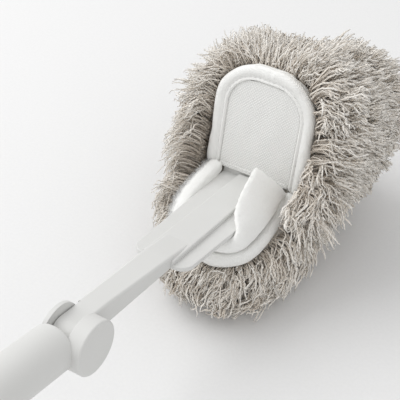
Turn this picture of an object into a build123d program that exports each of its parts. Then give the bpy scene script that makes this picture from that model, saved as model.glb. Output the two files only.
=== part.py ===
from build123d import *
import os
from math import cos, radians, sin

# Hand duster: a hollow grip hinged to a moulded arm, whose blade turns up into the
# pocket of a removable shaggy pile head.  Millimetres, +Z up, +Y from grip to head.
# The pile's flat belly stands on z = 0 and the origin is at the middle of the base
# of the whole object's box.  X runs along the hinge.

# ---- overall -------------------------------------------------------------------
OVERALL_LENGTH = 450.0      # grip end to the front of the pile
PILE_FRONT = 105.0          # from the pocket mouth to the front of the pile
ARM_REACH = 181.1           # from the hinge to the pocket mouth, along the arm
ARM_DROP = 11.2             # degrees the arm falls towards the head
GRIP_RISE = 14.5            # degrees the grip rises away from the hinge
PIVOT_Z = 92.0              # hinge height above the surface
FAR = 400.0                 # cutting boxes reach this far past the object

# ---- hinge ---------------------------------------------------------------------
BOLT_R = 2.5
BUSH_CLEARANCE = 0.05       # radial, bolt in bush
BUSH_R = 4.0
EYE_R = 9.3                 # rounded end of the arm
EYE_LEFT = -5.0             # the eye's two faces along the hinge
EYE_RIGHT = 6.6
WASHER_GAP = 0.3            # eye to friction washer
WASHER_T = 0.5
WASHER_R = 8.0
EAR_R = 14.5
EAR_ROUND = 0.6
LEFT_EAR_T = 2.5
RIGHT_EAR_T = 5.1
CAP_T = 4.0
CAP_EDGE = 1.1
CAP_RECESS_R = 6.0
CAP_RECESS = 2.8
HEAD_R = 5.2                # bolt head
HEAD_T = 2.4
HEAD_ROUND = 0.8
NUT_T = 1.8
NUT_R = 4.6
RIGHT_EAR = EYE_RIGHT + WASHER_GAP + WASHER_T
RIGHT_OUT = RIGHT_EAR + RIGHT_EAR_T
CAP_OUT = RIGHT_OUT + CAP_T
LEFT_EAR = EYE_LEFT - WASHER_GAP - WASHER_T
LEFT_OUT = LEFT_EAR - LEFT_EAR_T
HINGE_SPAN = 40.0           # longer than the whole hinge

# ---- grip ----------------------------------------------------------------------
TUBE_R = 12.5
TUBE_WALL = 1.6
COLLAR_START = 12.0         # from the hinge to the collar's face
COLLAR_END = 18.0           # where the tube butts on the collar
COLLAR_ROUND = 0.9
PLUG_LENGTH = 20.0
PLUG_CLEARANCE = 0.1
TAB_HALF = 7.5              # half thickness of the flattened hanging end
TAB_STEP = 0.8              # full round lip that closes the tube's end
HANG_HOLE_R = 3.0
HANG_HOLE_OFFSET = 4.0      # from the dome's centre towards its tip
HANG_HOLE_DEPTH = 40.0      # longer than the tab is thick

# ---- arm and blade -------------------------------------------------------------
ARM_TOP = 9.3               # arm's top above the hinge axis, at the hinge
ARM_TOP_STRAIGHT = 8.7      # the same at the end of the straight stretch
ARM_BOTTOM = -3.5
ARM_TOP_END = 6.2           # the same at the blade's start
ARM_BOTTOM_END = -0.8
ARM_HALF = 6.6
ARM_ROUND = 1.6
ARM_DEPTH = 20.0            # more than the arm's whole depth
ROUNDED_OVER = 0.5          # upper edges lie this far inside the arm's side and above the rib
ROUNDED_LENGTH = 5.0        # and are longer than this
ARM_HALF_END = 8.0
ARM_STRAIGHT = 22.0         # stretch of constant width past the hinge
EAR_NOTCH = 15.4            # from the hinge to the step that clears the left ear
BLADE_START = 77.0          # from the hinge along the arm
ARM_RAMP = 20.0             # arm's tail that runs out on the rib
BLADE_HALF = 17.6           # at its start
BLADE_HALF_END = 20.6       # at the mouth and in the pocket
BLADE_TOP = 1.75            # above the hinge axis
BLADE_T = 2.5
BLADE_ROUND = 8.0
BLADE_EDGE = 0.6
RIB_EDGE = 0.9
RIB_HALF = 9.6
RIB_HALF_END = 9.0
RIB_TOP = 4.25
RIB_GAP = 0.2               # rib's end to the panel
TOE_LENGTH = 58.0
TOE_BACK = 4.6              # toe's back face behind the panel's outer plane
TOE_FRONT = 2.0
SCREW_R = 1.6
SCREW_HEAD_R = 3.0
SCREW_HEAD_T = 1.4
SCREW_COVER = 0.6           # plastic left over the screw's tip
SCREW_Y = (BLADE_START + 6.0, BLADE_START + 15.0)

# ---- pocket, toe pad and heel pad ------------------------------------------------
PANEL_LEAN = 13.2           # degrees the pocket leans forward from upright
POCKET_HALF = 33.4
POCKET_LENGTH = 71.5
POCKET_ROUND = 28.0
BORDER = 9.4                # width of the sewn border
PANEL_T = 1.7
BORDER_FRONT = 0.6          # border stands proud of the panel by this
TOE_PAD_T = 4.2
TOE_PAD_FACE = TOE_BACK + 0.2
TOE_PAD_BACK = TOE_PAD_FACE + TOE_PAD_T
TOE_PAD_FOOT = 5.0          # foot of the toe pad below the mouth
HEM_INSET = 1.0             # hem shorter than the pocket's width, at each side
HEM_HEIGHT = 3.5
HEM_T = 0.9
HEEL_HALF = 26.0
HEEL_LENGTH = 61.0
HEEL_ROUND = 0.8            # corner radius over half width
HEEL_UNDER_TOE = 5.0        # heel outline's reach past the toe pad
HEEL_PAD_T = 6.0
HEEL_RISE = 3.0             # degrees the heel pad rises towards the toe
HEEL_DROP = 6.2             # pad's top below the mouth
BINDING_W = 3.2
BINDING_PROUD = 1.4
BINDING_GAP = 0.3           # binding's ends to the border

# ---- side wings ------------------------------------------------------------------
# cross-sections: distance behind the mouth, then the (sideways, up) corners
WING_RIGHT = (
    (2.0, ((24.5, 57.0), (21.5, 63.0), (4.5, 74.5), (7.5, 78.0), (26.0, 69.0), (29.0, 57.5))),
    (30.0, ((24.0, 55.5), (21.2, 66.5), (9.0, 75.0), (12.5, 78.8), (26.0, 68.5), (29.0, 56.0))),
    (58.0, ((22.5, 54.0), (20.4, 70.5), (19.2, 73.0), (24.0, 76.0), (25.5, 71.0), (27.0, 54.5))),
)
WING_LEFT = (
    (2.0, ((20.9, 57.0), (28.4, 57.0), (31.0, 64.5), (25.0, 66.6), (20.9, 65.5))),
    (30.0, ((20.2, 55.5), (29.0, 56.0), (32.0, 62.8), (26.0, 67.6), (20.2, 66.4))),
    (56.0, ((19.4, 54.0), (26.5, 54.5), (28.5, 60.0), (23.0, 64.6), (19.4, 63.5))),
)
# the wings' tails under the blade at the heel: x, y and z, each low then high
WING_RIGHT_TAIL = (-10.5, 23.0, 58.0, 63.5, 54.0, 66.6)
WING_LEFT_TAIL = (-21.5, -11.0, 59.5, 68.5, 54.2, 64.6)

# ---- pile -------------------------------------------------------------------------
# stations behind (-) or in front of the mouth: half width, lowest, highest, corner radius
PILE_STATIONS = (
    (-74.0, 20.0, 12.0, 38.0, 11.0),
    (-62.0, 33.0, 4.0, 50.0, 18.0),
    (-40.0, 45.0, 0.0, 64.0, 22.0),
    (-10.0, 54.0, 0.0, 100.0, 30.0),
    (16.0, 57.0, 0.0, 143.0, 46.0),
    (40.0, 60.0, 0.0, 137.0, 46.0),
    (72.0, 61.0, 0.0, 121.0, 38.0),
    (94.0, 55.0, 4.0, 106.0, 34.0),
    (PILE_FRONT, 41.0, 17.0, 89.0, 27.0),
)
PILE_GAP = 0.3              # kept to the sewn pieces
FIN_INSET = 33.8            # half width kept open over the heel pad
BELLY_BACK = 29.0           # where belly and heel pile meet, behind the mouth
CORE_HALF = 24.0
CORE_LENGTH = 66.0
CORE_BOTTOM = 40.0
CORE_TOP = 104.0
CORE_ROUND = 15.0

# ---- places worked out from the sizes above ---------------------------------------
ARM_DIR = (0, cos(radians(ARM_DROP)), -sin(radians(ARM_DROP)))
ARM_UP = (0, sin(radians(ARM_DROP)), cos(radians(ARM_DROP)))
MOUTH_Y = OVERALL_LENGTH / 2 - PILE_FRONT
PIVOT_Y = MOUTH_Y - ARM_REACH * ARM_DIR[1] - RIB_TOP * ARM_UP[1]
MOUTH_Z = PIVOT_Z + ARM_REACH * ARM_DIR[2] + RIB_TOP * ARM_UP[2]
GRIP_DIR = (0, -cos(radians(GRIP_RISE)), sin(radians(GRIP_RISE)))
DOME_AT = (PIVOT_Y + OVERALL_LENGTH / 2 - TUBE_R) / cos(radians(GRIP_RISE))

# arm frame: y along the arm, z up out of its top
ARM = Plane(origin=(0, PIVOT_Y, PIVOT_Z), x_dir=(1, 0, 0), z_dir=ARM_UP)
# grip frame: z along the grip, away from the hinge
GRIP = Plane(origin=(0, PIVOT_Y, PIVOT_Z), x_dir=(1, 0, 0), z_dir=GRIP_DIR)
# hinge frame: z along +X
HINGE = Plane(origin=(0, PIVOT_Y, PIVOT_Z), x_dir=(0, 1, 0), z_dir=(1, 0, 0))
# pocket frame: y up the pocket from the mouth, z out towards the grip
PANEL_OUT = (0, -cos(radians(PANEL_LEAN)), sin(radians(PANEL_LEAN)))
POCKET = Plane(origin=(0, MOUTH_Y, MOUTH_Z), x_dir=(1, 0, 0), z_dir=PANEL_OUT)
# heel frame: y up the heel pad towards the toe, z out of its top
HEEL_UP = (0, -sin(radians(HEEL_RISE)), cos(radians(HEEL_RISE)))
HEEL = Plane(
    origin=(0, MOUTH_Y + TOE_BACK, MOUTH_Z - HEEL_DROP),
    x_dir=(1, 0, 0),
    z_dir=HEEL_UP,
)


def box_between(x0, x1, y0, y1, z0, z1):
    """A box from its lowest and highest coordinates."""
    centre = ((x0 + x1) / 2, (y0 + y1) / 2, (z0 + z1) / 2)
    return Pos(*centre) * Box(x1 - x0, y1 - y0, z1 - z0)


def disc_between(radius, z0, z1):
    """A cylinder on the z axis from z0 to z1."""
    return Pos(0, 0, (z0 + z1) / 2) * Cylinder(radius, z1 - z0)


def slab(sketch, z0, z1):
    """A flat outline given thickness from z0 to z1."""
    return extrude(Pos(0, 0, z0) * sketch, z1 - z0)


# ---- hinge and grip ------------------------------------------------------------------
def hinge_fork():
    """Collar, plug and the two ears."""
    collar = disc_between(TUBE_R, COLLAR_START, COLLAR_END)
    collar = fillet(collar.edges().sort_by(Axis.Z)[0], COLLAR_ROUND)
    plug_r = TUBE_R - TUBE_WALL - PLUG_CLEARANCE
    plug = disc_between(plug_r, COLLAR_END, COLLAR_END + PLUG_LENGTH)
    body = GRIP * (collar + plug)
    right_ear = disc_between(EAR_R, RIGHT_EAR, RIGHT_OUT)
    right_ear = fillet(right_ear.edges().sort_by(Axis.Z)[0], EAR_ROUND)
    left_ear = disc_between(EAR_R, LEFT_OUT, LEFT_EAR)
    left_ear = fillet(left_ear.edges().sort_by(Axis.Z)[0], EAR_ROUND)
    body = body + HINGE * right_ear + HINGE * left_ear
    return body - HINGE * disc_between(BOLT_R, -HINGE_SPAN, HINGE_SPAN)


def hinge_cap():
    """Thick round cap that hides the bolt's head."""
    cap = disc_between(EAR_R, RIGHT_OUT, CAP_OUT)
    cap = fillet(cap.edges().sort_by(Axis.Z)[-1], CAP_EDGE)
    return HINGE * (cap - disc_between(CAP_RECESS_R, RIGHT_OUT, RIGHT_OUT + CAP_RECESS))


def pivot_bolt():
    """Pan-headed bolt from ear to ear."""
    shank = disc_between(BOLT_R, LEFT_OUT - NUT_T, RIGHT_OUT)
    head = disc_between(HEAD_R, RIGHT_OUT, RIGHT_OUT + HEAD_T)
    return HINGE * (shank + fillet(head.edges().sort_by(Axis.Z)[-1], HEAD_ROUND))


def pivot_nut():
    """Low hexagon nut on the bolt's far end."""
    nut = slab(RegularPolygon(NUT_R, 6), LEFT_OUT - NUT_T, LEFT_OUT)
    return HINGE * (nut - disc_between(BOLT_R, -HINGE_SPAN, HINGE_SPAN))


def friction_washer(z0):
    """Plastic washer against the inside of one ear."""
    ring = disc_between(WASHER_R, z0, z0 + WASHER_T)
    return HINGE * (ring - disc_between(BOLT_R, -HINGE_SPAN, HINGE_SPAN))


def grip_tube():
    """Hollow grip."""
    tube = disc_between(TUBE_R, COLLAR_END, DOME_AT)
    return GRIP * (tube - disc_between(TUBE_R - TUBE_WALL, COLLAR_END, DOME_AT))


def grip_end_cap():
    """Domed end with flats and a hanging hole across it."""
    dome = Pos(0, 0, DOME_AT) * Sphere(TUBE_R)
    tip = DOME_AT + TUBE_R
    collar = dome & box_between(-TUBE_R, TUBE_R, -TUBE_R, TUBE_R, DOME_AT, DOME_AT + TAB_STEP)
    tab = dome & box_between(-TAB_HALF, TAB_HALF, -TUBE_R, TUBE_R, DOME_AT, tip)
    plug_r = TUBE_R - TUBE_WALL - PLUG_CLEARANCE
    plug = disc_between(plug_r, DOME_AT - PLUG_LENGTH / 2, DOME_AT)
    hole = Rot(0, 90, 0) * Cylinder(HANG_HOLE_R, HANG_HOLE_DEPTH)
    hole = Pos(0, 0, DOME_AT + HANG_HOLE_OFFSET) * hole
    return GRIP * (plug + collar + tab - hole)


# ---- arm and blade ---------------------------------------------------------------------
def arm_shank():
    """Arm: an eye round the bolt, a straight bar and a tapered tail on the rib."""
    side_view = Polyline(
        (0, ARM_TOP),
        (ARM_STRAIGHT, ARM_TOP_STRAIGHT),
        (BLADE_START, ARM_TOP_END),
        (BLADE_START + ARM_RAMP, RIB_TOP),
        (BLADE_START, RIB_TOP),
        (BLADE_START, ARM_BOTTOM_END),
        (ARM_STRAIGHT, ARM_BOTTOM),
        (0, ARM_BOTTOM),
        close=True,
    )
    profile = Plane(origin=(0, 0, 0), x_dir=(0, 1, 0), z_dir=(1, 0, 0)) * make_face(side_view)
    bar = extrude(profile, ARM_HALF_END, both=True)
    tail_y = BLADE_START + ARM_RAMP
    plan = Polyline(
        (EYE_LEFT, 0),
        (EYE_LEFT, EAR_NOTCH),
        (-ARM_HALF, EAR_NOTCH),
        (-ARM_HALF, ARM_STRAIGHT),
        (-ARM_HALF_END, BLADE_START),
        (-ARM_HALF_END, tail_y),
        (ARM_HALF_END, tail_y),
        (ARM_HALF_END, BLADE_START),
        (ARM_HALF, ARM_STRAIGHT),
        (EYE_RIGHT, 0),
        close=True,
    )
    bar = bar & slab(make_face(plan), -ARM_DEPTH, ARM_DEPTH)
    upper = [e for e in bar.edges() if is_upper_side(e)]
    bar = fillet(upper, ARM_ROUND)
    eye = HINGE * disc_between(EYE_R, EYE_LEFT, EYE_RIGHT)
    bore = HINGE * disc_between(BUSH_R, -HINGE_SPAN, HINGE_SPAN)
    return ARM * bar + eye - bore


def is_upper_side(edge):
    """True for the arm's long upper edges, left and right."""
    middle = edge.center()
    outer = abs(middle.X) > ARM_HALF - ROUNDED_OVER
    return outer and middle.Z > RIB_TOP + ROUNDED_OVER and edge.length > ROUNDED_LENGTH


def pivot_bush():
    """Bush in the arm's eye, running on the bolt."""
    ring = disc_between(BUSH_R, EYE_LEFT, EYE_RIGHT)
    return HINGE * (ring - disc_between(BOLT_R + BUSH_CLEARANCE, EYE_LEFT, EYE_RIGHT))


def arm_blade():
    """Flat blade with a raised rib, turned up at the mouth into the toe."""
    end_y = ARM_REACH + TOE_BACK
    plan = Polyline(
        (-BLADE_HALF, BLADE_START),
        (-BLADE_HALF_END, end_y),
        (BLADE_HALF_END, end_y),
        (BLADE_HALF, BLADE_START),
        close=True,
    )
    flange = slab(make_face(plan), BLADE_TOP - BLADE_T, BLADE_TOP)
    corners = flange.edges().filter_by(Axis.Z).sort_by(Axis.Y)[:2]
    flange = fillet(corners, BLADE_ROUND)
    flange = fillet(flange.faces().sort_by(Axis.Z)[-1].edges(), BLADE_EDGE)
    rib_plan = Polyline(
        (-RIB_HALF, BLADE_START),
        (-RIB_HALF_END, ARM_REACH - RIB_GAP),
        (RIB_HALF_END, ARM_REACH - RIB_GAP),
        (RIB_HALF, BLADE_START),
        close=True,
    )
    rib = slab(make_face(rib_plan), BLADE_TOP, RIB_TOP)
    rib = fillet(rib.faces().sort_by(Axis.Z)[-1].edges().sort_by(Axis.Y)[:3], RIB_EDGE)
    toe_low = -RIB_TOP - BLADE_T
    toe = box_between(-BLADE_HALF_END, BLADE_HALF_END, toe_low, TOE_LENGTH, -TOE_BACK, -TOE_FRONT)
    tips = toe.edges().filter_by(Axis.Z).sort_by(Axis.Y)[2:]
    toe = fillet(tips, BLADE_ROUND)
    under = ARM * box_between(-FAR, FAR, BLADE_START, FAR, -FAR, BLADE_TOP - BLADE_T)
    blade = ARM * (flange + rib) + (POCKET * toe - under)
    for y in SCREW_Y:
        blade = blade - ARM * screw_hole(y)
    return blade


def screw_hole(y):
    """Hole and countersunk seat for one blade screw, from beneath."""
    low = BLADE_TOP - BLADE_T
    hole = disc_between(SCREW_R, low, RIB_TOP - SCREW_COVER)
    seat = disc_between(SCREW_HEAD_R, low, low + SCREW_HEAD_T)
    return Pos(0, y, 0) * (hole + seat)


def blade_screw(y):
    """Screw that fills one blade hole."""
    return ARM * screw_hole(y)


# ---- sewn head ---------------------------------------------------------------------------
def pocket_outline(half, length, corner):
    """Upright outline with round upper corners, from the mouth up."""
    outline = Polyline((-half, 0), (-half, length), (half, length), (half, 0), close=True)
    face = make_face(outline)
    return fillet(face.vertices().sort_by(Axis.Y)[2:], corner)


def pocket_panel():
    """Mesh panel that holds the toe."""
    inner = pocket_outline(POCKET_HALF - BORDER, POCKET_LENGTH - BORDER, POCKET_ROUND - BORDER)
    return POCKET * slab(inner, -PANEL_T, 0)


def pocket_border():
    """Padded border round the panel."""
    outer = pocket_outline(POCKET_HALF, POCKET_LENGTH, POCKET_ROUND)
    inner = pocket_outline(POCKET_HALF - BORDER, POCKET_LENGTH - BORDER, POCKET_ROUND - BORDER)
    return POCKET * slab(outer - inner, -TOE_BACK, BORDER_FRONT)


def pocket_hem():
    """Turned hem across the mouth."""
    half, z0 = POCKET_HALF - HEM_INSET, BORDER_FRONT
    return POCKET * box_between(-half, half, 0, HEM_HEIGHT, z0, z0 + HEM_T)


def toe_pad():
    """Padding behind the toe, down to the heel pad."""
    outer = pocket_outline(POCKET_HALF, POCKET_LENGTH, POCKET_ROUND)
    pad = slab(outer, -TOE_PAD_BACK, -TOE_PAD_FACE)
    foot = box_between(-HEEL_HALF, HEEL_HALF, -TOE_PAD_FOOT, 0, -TOE_PAD_BACK, -TOE_PAD_FACE)
    return POCKET * (pad + foot) - HEEL * heel_block(0)


def heel_outline(grow):
    """Heel pad's outline: straight at the toe, round at the heel."""
    half = HEEL_HALF + grow
    back = -HEEL_LENGTH - TOE_BACK - grow
    front = TOE_PAD_BACK + HEEL_UNDER_TOE
    outline = Polyline((-half, front), (-half, back), (half, back), (half, front), close=True)
    face = make_face(outline)
    return fillet(face.vertices().sort_by(Axis.Y)[:2], half * HEEL_ROUND)


def heel_block(grow):
    """Solid under the heel pad's top plane."""
    return slab(heel_outline(grow), -HEEL_PAD_T, 0)


def heel_pad():
    """Padded base under the blade."""
    return HEEL * heel_block(0) - behind_toe()


def heel_binding():
    """Bound rim round the heel pad."""
    ring = heel_outline(BINDING_W) - heel_outline(0)
    low = -HEEL_PAD_T - BINDING_PROUD
    rim = HEEL * slab(ring, low, BINDING_PROUD)
    front_cut = POCKET * box_between(-FAR, FAR, -FAR, FAR, -FAR, BORDER_FRONT + BINDING_GAP)
    return rim - front_cut


def wing(side, sections):
    """Side wing, ruled between cross-sections (y behind the mouth, then the corners)."""
    faces = []
    for back, corners in sections:
        points = [(side * x, MOUTH_Y - back, z) for x, z in corners]
        faces.append(make_face(Polyline(*points, close=True)))
    return loft(faces, ruled=True)


def wing_right():
    """Puffy wing that arches over the blade's edge, with its tail round the heel."""
    return wing(1, WING_RIGHT) + box_between(*WING_RIGHT_TAIL)


def wing_left():
    """Low wing spread outwards, with its tail round the heel."""
    return wing(-1, WING_LEFT) + box_between(*WING_LEFT_TAIL)


# ---- pile ----------------------------------------------------------------------------------
def pile_envelope():
    """Whole outer shape of the pile, ruled between round-cornered stations."""
    sections = []
    for back, half, low, high, corner in PILE_STATIONS:
        plane = Plane(origin=(0, MOUTH_Y + back, (low + high) / 2), x_dir=(1, 0, 0), z_dir=(0, -1, 0))
        sections.append(plane * RectangleRounded(2 * half, high - low, corner))
    return loft(sections, ruled=True)


def behind_toe():
    """Half space in front of the toe pad, away from the grip."""
    return POCKET * box_between(-FAR, FAR, -FAR, FAR, -FAR, -TOE_PAD_BACK - PILE_GAP)


def under_heel():
    """Half space below the heel pad."""
    low = -HEEL_PAD_T - BINDING_PROUD - PILE_GAP
    return HEEL * box_between(-FAR, FAR, -FAR, FAR, -FAR, low)


def foam_core():
    """Stuffed core that carries the front pile."""
    y0 = MOUTH_Y + TOE_PAD_BACK
    block = box_between(-CORE_HALF, CORE_HALF, y0, y0 + CORE_LENGTH, CORE_BOTTOM, CORE_TOP)
    block = (block & behind_toe()) - under_heel()
    far = block.faces().sort_by(Axis.Y)[-1]
    return fillet(far.edges(), CORE_ROUND)


def pile_front(side):
    """One side of the pile in front of the pocket."""
    half = box_between(*sorted((0, side * FAR)), -FAR, FAR, 0, FAR)
    upper = pile_envelope() & behind_toe() & half
    return upper - under_heel() - foam_core()


def pile_belly():
    """Pile under the heel pad and the core, which the head stands on."""
    cut = box_between(-FAR, FAR, MOUTH_Y - BELLY_BACK, FAR, 0, FAR)
    return pile_envelope() & under_heel() & cut


def pile_heel():
    """Pile that droops behind the heel."""
    cut = box_between(-FAR, FAR, -FAR, MOUTH_Y - BELLY_BACK, 0, FAR)
    return pile_envelope() & under_heel() & cut


def pile_side(side):
    """Pile beside the wings, between the heel's rim and the pocket."""
    x0, x1 = sorted((side * FIN_INSET, side * FAR))
    fin = pile_envelope() & box_between(x0, x1, -FAR, FAR, 0, FAR)
    return fin - behind_toe() - under_heel()


# ---- all nodes -----------------------------------------------------------------------------
def all_nodes():
    """Every sub-part, by the name of its file."""
    nodes = {
        "grip_tube": grip_tube(),
        "grip_end_cap": grip_end_cap(),
        "hinge_fork": hinge_fork(),
        "hinge_cap": hinge_cap(),
        "pivot_bolt": pivot_bolt(),
        "pivot_nut": pivot_nut(),
        "friction_washer_right": friction_washer(RIGHT_EAR - WASHER_T),
        "friction_washer_left": friction_washer(LEFT_EAR),
        "arm_shank": arm_shank(),
        "pivot_bush": pivot_bush(),
        "arm_blade": arm_blade(),
        "pocket_panel": pocket_panel(),
        "pocket_border": pocket_border(),
        "pocket_hem": pocket_hem(),
        "toe_pad": toe_pad(),
        "heel_pad": heel_pad(),
        "heel_binding": heel_binding(),
        "wing_right": wing_right(),
        "wing_left": wing_left(),
        "foam_core": foam_core(),
        "pile_front_right": pile_front(1),
        "pile_front_left": pile_front(-1),
        "pile_belly": pile_belly(),
        "pile_heel": pile_heel(),
        "pile_side_right": pile_side(1),
        "pile_side_left": pile_side(-1),
    }
    for number, y in enumerate(SCREW_Y, start=1):
        nodes[f"blade_screw_{number}"] = blade_screw(y)
    return nodes


def main():
    os.makedirs("parts", exist_ok=True)
    for name, shape in all_nodes().items():
        export_step(shape, f"parts/{name}.step")
    print("hinge axis through y", round(PIVOT_Y, 3), "z", round(PIVOT_Z, 3))
    print("mouth y", round(MOUTH_Y, 3), "z", round(MOUTH_Z, 3))
    hole = GRIP.from_local_coords((0, 0, DOME_AT + HANG_HOLE_OFFSET))
    print("hang hole at", hole)


main()
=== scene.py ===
import bpy
import numpy as np
from mathutils import Matrix, Vector
from mathutils.bvhtree import BVHTree


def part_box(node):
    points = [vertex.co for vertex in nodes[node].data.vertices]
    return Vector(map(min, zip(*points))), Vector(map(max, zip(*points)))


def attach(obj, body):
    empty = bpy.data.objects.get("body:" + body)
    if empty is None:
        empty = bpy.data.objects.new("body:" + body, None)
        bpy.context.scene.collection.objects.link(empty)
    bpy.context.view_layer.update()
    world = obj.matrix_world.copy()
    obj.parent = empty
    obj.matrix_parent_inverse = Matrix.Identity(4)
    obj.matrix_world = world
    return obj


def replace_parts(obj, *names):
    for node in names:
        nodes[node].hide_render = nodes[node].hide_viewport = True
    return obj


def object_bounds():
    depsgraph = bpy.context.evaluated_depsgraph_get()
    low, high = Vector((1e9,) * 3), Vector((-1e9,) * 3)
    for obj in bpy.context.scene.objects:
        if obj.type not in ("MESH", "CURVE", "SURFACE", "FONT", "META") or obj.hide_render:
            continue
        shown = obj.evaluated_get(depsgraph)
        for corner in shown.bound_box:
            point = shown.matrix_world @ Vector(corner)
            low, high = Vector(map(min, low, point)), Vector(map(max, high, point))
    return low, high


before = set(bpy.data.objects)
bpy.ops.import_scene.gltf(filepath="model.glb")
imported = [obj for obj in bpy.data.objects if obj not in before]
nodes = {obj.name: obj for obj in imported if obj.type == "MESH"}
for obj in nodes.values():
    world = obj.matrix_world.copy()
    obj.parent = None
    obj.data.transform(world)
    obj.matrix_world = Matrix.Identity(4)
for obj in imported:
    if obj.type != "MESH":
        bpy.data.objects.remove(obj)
cad_low, cad_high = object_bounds()
scene = bpy.context.scene
dice = np.random.default_rng(20)

MM = 0.001

# ---- places, worked out from the CAD nodes and the sizes of the sewn head -----------
LEAN = np.radians(13.2)  # the pocket leans forward from upright
HEEL_RISE = np.radians(3.0)
PANEL_T = 1.7 * MM
POCKET_HALF, POCKET_LENGTH, POCKET_ROUND = 33.4 * MM, 71.5 * MM, 28.0 * MM
BORDER = 9.4 * MM
HEEL_HALF, HEEL_BACK, HEEL_ROUND = 29.2 * MM, 68.8 * MM, 23.4 * MM
HEEL_DROP, TOE_BACK = 6.2 * MM, 4.6 * MM

panel_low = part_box("pocket_panel")[0]
MOUTH = np.array((0.0, panel_low.y, panel_low.z + PANEL_T * np.sin(LEAN)))
POCKET_AXES = np.array(
    (
        (1.0, 0.0, 0.0),
        (0.0, np.sin(LEAN), np.cos(LEAN)),
        (0.0, -np.cos(LEAN), np.sin(LEAN)),
    )
)
HEEL_TOP = MOUTH + np.array((0.0, TOE_BACK, -HEEL_DROP))
HEEL_AXES = np.array(
    (
        (1.0, 0.0, 0.0),
        (0.0, np.cos(HEEL_RISE), np.sin(HEEL_RISE)),
        (0.0, -np.sin(HEEL_RISE), np.cos(HEEL_RISE)),
    )
)


def pocket_to_world(points):
    """Points as (across, up the pocket, out of its face), in the row frame."""
    return np.asarray(points) @ POCKET_AXES + MOUTH


def world_to_pocket(points):
    """The reverse."""
    return (np.asarray(points) - MOUTH) @ POCKET_AXES.T


def heel_to_world(points):
    """Points as (across, towards the toe, up out of the heel pad), in the row frame."""
    return np.asarray(points) @ HEEL_AXES + HEEL_TOP


def world_to_heel(points):
    """The reverse."""
    return (np.asarray(points) - HEEL_TOP) @ HEEL_AXES.T


# ---- node materials -------------------------------------------------------------------
def shader_node(tree, kind, inputs=None, **settings):
    """A new node with its settings, and its inputs set or linked."""
    made = tree.nodes.new(kind)
    for key, value in settings.items():
        setattr(made, key, value)
    for key, value in (inputs or {}).items():
        if isinstance(value, bpy.types.NodeSocket):
            tree.links.new(value, made.inputs[key])
        else:
            made.inputs[key].default_value = value
    return made


def new_material(name):
    """A material's node tree, its shader and its object coordinates."""
    material = bpy.data.materials.new(name)
    material.use_nodes = True
    tree = material.node_tree
    shader = tree.nodes["Principled BSDF"]
    place = tree.nodes.new("ShaderNodeTexCoord").outputs["Object"]
    return material, tree, shader, place


def noise(tree, place, scale, detail=3.0, roughness=0.5):
    """Noise value at that scale, in features per metre."""
    inputs = {"Vector": place, "Scale": scale, "Detail": detail, "Roughness": roughness}
    return shader_node(tree, "ShaderNodeTexNoise", inputs).outputs["Fac"]


def ramp(tree, value, stops):
    """Colour ramp through (position, colour) stops."""
    made = shader_node(tree, "ShaderNodeValToRGB", {"Fac": value})
    elements = made.color_ramp.elements
    while len(elements) < len(stops):
        elements.new(0.5)
    for element, (position, colour) in zip(elements, stops):
        element.position = position
        element.color = (*colour, 1.0)
    return made.outputs["Color"]


def span(tree, value, low, high):
    """The value, from 0..1 to low..high."""
    inputs = {"Value": value, "To Min": low, "To Max": high}
    return shader_node(tree, "ShaderNodeMapRange", inputs).outputs["Result"]


def combine(tree, operation, a, b):
    """Two values through a math node."""
    return shader_node(tree, "ShaderNodeMath", {0: a, 1: b}, operation=operation).outputs[0]


def bump(tree, shader, height, strength, distance, under=None):
    """Height into the shader's normal, over an earlier bump if there is one."""
    inputs = {"Height": height, "Strength": strength, "Distance": distance}
    if under is not None:
        inputs["Normal"] = under
    made = shader_node(tree, "ShaderNodeBump", inputs).outputs["Normal"]
    tree.links.new(made, shader.inputs["Normal"])
    return made


def grey(level, warm=0.0):
    """A near-neutral colour, very slightly green as the plastic and cloth are."""
    return (level * (0.997 + warm), level, level * (0.982 - warm))


def plastic(name, level, shine):
    """Matt moulded plastic with a fine spark texture and faint handling marks."""
    material, tree, shader, place = new_material(name)
    patches = noise(tree, place, 22.0, 4.0)
    colour = ramp(tree, patches, ((0.3, grey(level * 0.965, 0.004)), (0.7, grey(level, 0.002))))
    tree.links.new(colour, shader.inputs["Base Color"])
    marks = shader_node(
        tree, "ShaderNodeMapping", {"Vector": place, "Scale": (420.0, 60.0, 420.0)}
    ).outputs["Vector"]
    streaks = noise(tree, marks, 1.0, 5.0, 0.6)
    tree.links.new(span(tree, streaks, shine - 0.09, shine + 0.11), shader.inputs["Roughness"])
    shader.inputs["Specular IOR Level"].default_value = 0.42
    grain = bump(tree, shader, noise(tree, place, 1900.0, 2.0), 0.22, 0.00006)
    bump(tree, shader, noise(tree, place, 75.0, 2.0), 0.1, 0.00025, grain)
    return material


def steel():
    """Bright zinc-plated steel, turned finish."""
    material, tree, shader, place = new_material("steel")
    turned = shader_node(
        tree, "ShaderNodeMapping", {"Vector": place, "Scale": (3000.0, 300.0, 300.0)}
    ).outputs["Vector"]
    lines = noise(tree, turned, 1.0, 3.0)
    colour = ramp(tree, lines, ((0.3, grey(0.46)), (0.7, grey(0.6, 0.01))))
    tree.links.new(colour, shader.inputs["Base Color"])
    tree.links.new(span(tree, lines, 0.24, 0.42), shader.inputs["Roughness"])
    shader.inputs["Metallic"].default_value = 1.0
    bump(tree, shader, lines, 0.15, 0.00005)
    return material


def waves(tree, place, direction, period, distortion=0.0):
    """Smooth parallel bands of that period, in metres."""
    inputs = {
        "Vector": place,
        "Scale": 2.0 * np.pi / 20.0 / period,
        "Distortion": distortion,
        "Detail": 1.0,
        "Detail Scale": 2.0,
    }
    made = shader_node(tree, "ShaderNodeTexWave", inputs, bands_direction=direction)
    return made.outputs["Fac"]


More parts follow.
